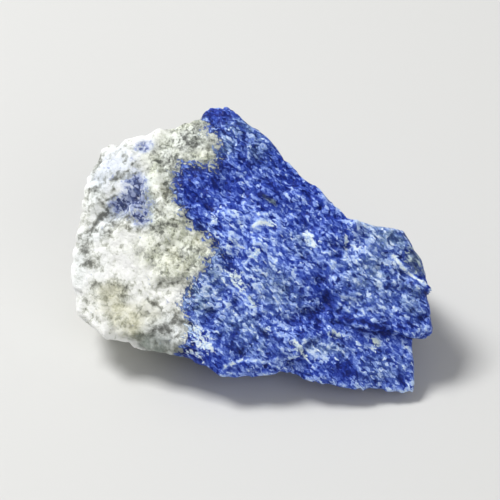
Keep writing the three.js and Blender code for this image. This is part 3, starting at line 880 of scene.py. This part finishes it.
# %% Colour of the calcite
def calcite(tree, pattern, zone):
    """Wisps of grey through a ramp, each grain a little lighter or darker than the next, with lumps
    lighter and crevices darker as painted highlight and shade, and painted shade along the crease
    and the left rim. Olive, cream and glass come over it, then a cool tint on grey flaws, on the
    painted shade and near blue inclusions, and last a grey stain along the border and lilac round
    the inclusions."""
    grainy = plus(tree, 0.18, (zone["olive"], 0.34))
    tone = add(tree, "Math", [pattern["sugar"], grainy], operation="MULTIPLY")
    # proud lumps lighter and crevices darker: painted highlight and shade; the dull and crack zones
    # also hold painted shade
    tone = plus(
        tree, tone, (pattern["wisps"], 1.1), (pattern["curds"], 0.7), (pattern["clouds"], 1.0),
        (pattern["sand"], 0.44), (zone["proud"], 0.40), (zone["dull_and_shade"], -0.15), (zone["cracks_and_shade"], -0.32),
    )
    tone = add(tree, "MapRange", [tone, 1.30, 2.12])
    white = add(tree, "ValToRGB", [tone], stops=[
        (0.00, "#76776e"), (0.16, "#a8a9a0"), (0.30, "#d0d2c9"), (0.45, "#f0f1ed"), (1.00, "#fafaf9"),
    ])
    cream = add(tree, "ValToRGB", [tone], stops=[
        (0.00, "#75745a"), (0.25, "#a9a88a"), (0.45, "#c9c7ab"), (0.65, "#dfdec8"), (1.00, "#f2f1e6"),
    ])
    sandy = plus(tree, tone, (pattern["sand"], 0.9), (pattern["streaks"], 0.8))
    sandy = add(tree, "MapRange", [sandy, 1.00, 1.77])
    olive = add(tree, "ValToRGB", [sandy], stops=[
        (0.00, "#54584c"), (0.22, "#838777"), (0.42, "#abaf9b"), (0.62, "#c8ccb6"), (0.88, "#ebeee0"),
    ])
    glassy = add(tree, "ValToRGB", [tone], stops=[(0.0, "#464f49"), (0.5, "#79837b"), (1.0, "#adb5ac")])
    for name, share, colour in (("olive", 1.0, olive), ("cream", 0.8, cream), ("glassy", 0.9, glassy)):
        amount = plus(tree, zone[name], (pattern["wisps"], 1.8))
        amount = add(tree, "MapRange", [amount, 1.15, 1.95, 0.0, share])
        white = mix(tree, amount, white, colour)
    # the dull zone is grey calcite and also painted shade along the crease and the left rim
    for name, share, colour, blend in (
        ("dull_and_shade", 0.4, "#c4c9cb", "COLOR"), ("blue_in_white", 3.0, "#e2e8f8", "MULTIPLY"),
    ):
        cool = add(tree, "Math", [zone[name], share], operation="MULTIPLY", use_clamp=True)
        white = mix(tree, cool, white, linear(colour), blend)
    stained = add(tree, "MapRange", [zone["border_near"], 3.0, 4.0, 0.0, 0.8])
    lilac = add(tree, "MapRange", [zone["blue_near"], 2.05, 2.30, 0.0, 0.8])
    white = mix(tree, stained, white, linear("#8a9292"))
    return mix(tree, lilac, white, linear("#8d9ac6"))


# %% [markdown]
# ## Which grain is what
#
# Blue and white could be two materials on two sets of faces, but their border would then follow
# the mesh. In one material each grain picks its side by chance and by its distance from the
# border, so that blue grains stray into the white and the border is as crooked as they are. The
# white grains in the blue are picked in the same way.

# %% Blue grains
def blue_grains(tree, pattern, zone):
    """Which grains are past the border, by chance near it, and which of all grains are blue, with
    those of the inclusions. How near each is to the border and to an inclusion joins the zones."""
    past = plus(
        tree, zone["border"],
        (pattern["streaks"], 3.6), (pattern["wisps"], 3.4), (pattern["splinter"], 1.0),
    )
    near = plus(
        tree, zone["blue_in_white"],
        (pattern["wisps"], 1.2), (pattern["streaks"], 1.2), (pattern["splinter"], 0.8),
    )
    zone |= {"border_near": past, "blue_near": near}
    past = add(tree, "MapRange", [past, 3.9, 4.2])
    inside = add(tree, "MapRange", [near, 2.42, 2.52, 0.0, 0.95])
    return past, add(tree, "Math", [past, inside], operation="MAXIMUM")


# %% White grains in the blue
def flecked_rock(tree, pattern, zone, past):
    """Blue rock with white grains: a few anywhere, most of them in the flecks, milky or white by
    chance. The inclusions, which lie on the white side, are greyer and darker."""
    # the seams also carry painted highlight along the lower lip and the plate's lower edge
    fleck = plus(
        tree, pattern["streaks"], (pattern["splinter"], 0.40), (pattern["sand"], 0.25),
        (zone["speckled"], 0.06), (zone["deep"], -0.10), (zone["flecks"], 0.33), (zone["seams_and_highlights"], 0.12),
    )
    fleck = add(tree, "MapRange", [fleck, 1.06, 1.18])
    milk = plus(tree, pattern["sand"], (pattern["splinter"], 0.35), (zone["seams_and_highlights"], 0.05))
    white = add(tree, "ValToRGB", [milk], stops=[
        (0.50, "#7ca2e6"), (0.66, "#b8d4fb"), (0.84, "#eef9fd"),
    ])
    creamy = add(tree, "MapRange", [zone["green"], 0.1, 0.8, 0.0, 0.4])
    white = mix(tree, creamy, white, linear("#dde6d4"))
    rock = mix(tree, fleck, blue_rock(tree, pattern, zone), white)
    faded = add(tree, "Math", [zone["blue_in_white"], 3.0], operation="MULTIPLY")
    faded = add(tree, "Math", [past, -3.0, faded], operation="MULTIPLY_ADD", use_clamp=True)
    return add(tree, "HueSaturation", {"Color": rock, "Fac": faded, "Saturation": 0.87, "Value": 0.6})


# %% Grains as little planes
def grain_bump(tree, pattern, is_blue):
    """Every grain is a little plane with a tilt of its own: tilt (place in the grain . lean), and
    the finer noises on top, in millimetres."""
    lifts = []
    for name, tilt in (("splinter", 0.40), ("sugar", 0.20)):
        centre_of_grain = pattern[name].node.outputs["Position"]
        away = add(tree, "VectorMath", [pattern[name + "_at"], centre_of_grain], operation="SUBTRACT")
        lean = add(tree, "VectorMath", [pattern[name], (0.5, 0.5, 0.5)], operation="SUBTRACT")
        flat = add(tree, "VectorMath", [away, lean], "Value", operation="DOT_PRODUCT")
        lifts.append(add(tree, "Math", [flat, tilt], operation="MULTIPLY"))
    by_kind = {0: is_blue, 2: lifts[1], 3: lifts[0]}            # its sockets for plain numbers
    lift = add(tree, "Mix", by_kind, data_type="FLOAT")
    lift = plus(
        tree, lift, (pattern["streaks"], 0.22), (pattern["sand"], 0.05), (pattern["curds"], 0.12),
    )
    return add(tree, "Bump", {"Height": lift, "Strength": 1.0, "Distance": MM})


# %% Material: lapis lazuli, freshly broken and dry
def lapis_material():
    """Colour and bump from the zones and grains. Hollows get painted shade and some dust. The
    surface is satin, with some grains split flat and bright, and light goes a little way into the
    calcite."""
    material = bpy.data.materials.new("lapis_lazuli_broken_dry")
    material.use_nodes = True
    tree = material.node_tree
    tree.nodes.clear()
    zone = {name: add(tree, "Attribute", output="Fac", attribute_name=name) for name in stone_zones}
    pattern = patterns(tree)
    past, is_blue = blue_grains(tree, pattern, zone)
    rock = flecked_rock(tree, pattern, zone, past)
    colour = mix(tree, is_blue, calcite(tree, pattern, zone), rock)
    # painted shade in the hollows, with a little dust: darker where a point sinks below its neighbours
    shade = add(tree, "MapRange", [zone["proud"], -0.3, 0.0, 0.7, 1.0])
    colour = mix(tree, 1.0, colour, shade, "MULTIPLY")
    satin = add(tree, "MapRange", [pattern["splinter"], 0.15, 0.85, 0.34, 0.62])
    milky = add(tree, "MapRange", [is_blue, 0.0, 1.0, 0.4, 0.0])
    shader = add(tree, "BsdfPrincipled", {
        "Base Color": colour, "Roughness": satin, "IOR": 1.52, "Specular IOR Level": 0.2,
        "Normal": grain_bump(tree, pattern, is_blue), "Subsurface Weight": milky,
        "Subsurface Radius": (1.0, 1.0, 1.0), "Subsurface Scale": 0.6 * MM,
    })
    add(tree, "OutputMaterial", {"Surface": shader})
    return material


mesh.materials.append(lapis_material())
print("the finish has", len(mesh.materials[0].node_tree.nodes), "nodes")

# %% [markdown]
# ## Floor, light and camera
#
# A pale floor and two large soft lights, as in a small light tent. Small hard lights would make
# more sparkle, but they would hide the blue in black shadows. The camera looks down at 40 degrees,
# straight at the broad face, from nearly half a metre away.

# %% Floor
def plain_material(name, colour, roughness):
    """One colour and roughness all over."""
    material = bpy.data.materials.new(name)
    material.use_nodes = True
    shader = material.node_tree.nodes["Principled BSDF"]
    shader.inputs["Base Color"].default_value = linear(colour)
    shader.inputs["Roughness"].default_value = roughness
    return material


FLOOR_HALF = 3.0                             # m
floor_mesh = bpy.data.meshes.new("floor")
floor_corners = [(FLOOR_HALF * x, FLOOR_HALF * y, 0) for x, y in ((-1, -1), (1, -1), (1, 1), (-1, 1))]
floor_mesh.from_pydata(floor_corners, [], [(0, 1, 2, 3)])
floor_mesh.materials.append(plain_material("matt_white_paper", "#cfcfcd", roughness=0.9))
floor = new_object("floor", floor_mesh)

# %% Lights
DAYLIGHT = 0.32                              # strength of the even white light all round
middle = Vector((-centre[0], -centre[1], MIDDLE_HEIGHT)) * MM


def softbox(name, azimuth, elevation, distance, size, power):
    """A square area light at an azimuth and elevation round the stone, facing it."""
    a, e = np.radians(azimuth), np.radians(elevation)
    direction = Vector((np.sin(a) * np.cos(e), -np.cos(a) * np.cos(e), np.sin(e)))
    light = bpy.data.lights.new(name, "AREA")
    light.size = size
    light.energy = power
    lamp = new_object(name, light)
    lamp.location = middle + direction * distance
    lamp.rotation_euler = direction.to_track_quat("Z", "Y").to_euler()
    print(f"{name}: {power} W from a square of {size} m")


softbox("key", azimuth=-110, elevation=60, distance=0.6, size=0.20, power=3.7)
softbox("fill", azimuth=30, elevation=30, distance=0.9, size=0.7, power=2.0)

world = bpy.data.worlds.new("studio")
world.use_nodes = True
background = world.node_tree.nodes["Background"].inputs
background["Color"].default_value = (1, 1, 1, 1)
background["Strength"].default_value = DAYLIGHT
bpy.context.scene.world = world
bpy.context.scene.view_settings.view_transform = "Standard"

# %% Camera
CAMERA_AWAY = 450.0                          # mm from the broad face
VIEW_WIDTH = 64.0                            # mm across the picture at the broad face
FACE_OUT = 8.0                               # mm from the stone's middle to the broad face
SENSOR = 36.0                                # mm
NEAREST = 0.01                               # m: the camera sees nothing closer

camera_data = bpy.data.cameras.new("camera")
camera_data.sensor_width = SENSOR
camera_data.lens = SENSOR * CAMERA_AWAY / VIEW_WIDTH
camera_data.clip_start = NEAREST
camera = new_object("camera", camera_data)
towards = Vector(TO_STONE[2])
camera.location = middle + towards * (CAMERA_AWAY + FACE_OUT) * MM
camera.rotation_euler = towards.to_track_quat("Z", "Y").to_euler()
bpy.context.scene.camera = camera
print("lens, mm:", round(camera_data.lens))
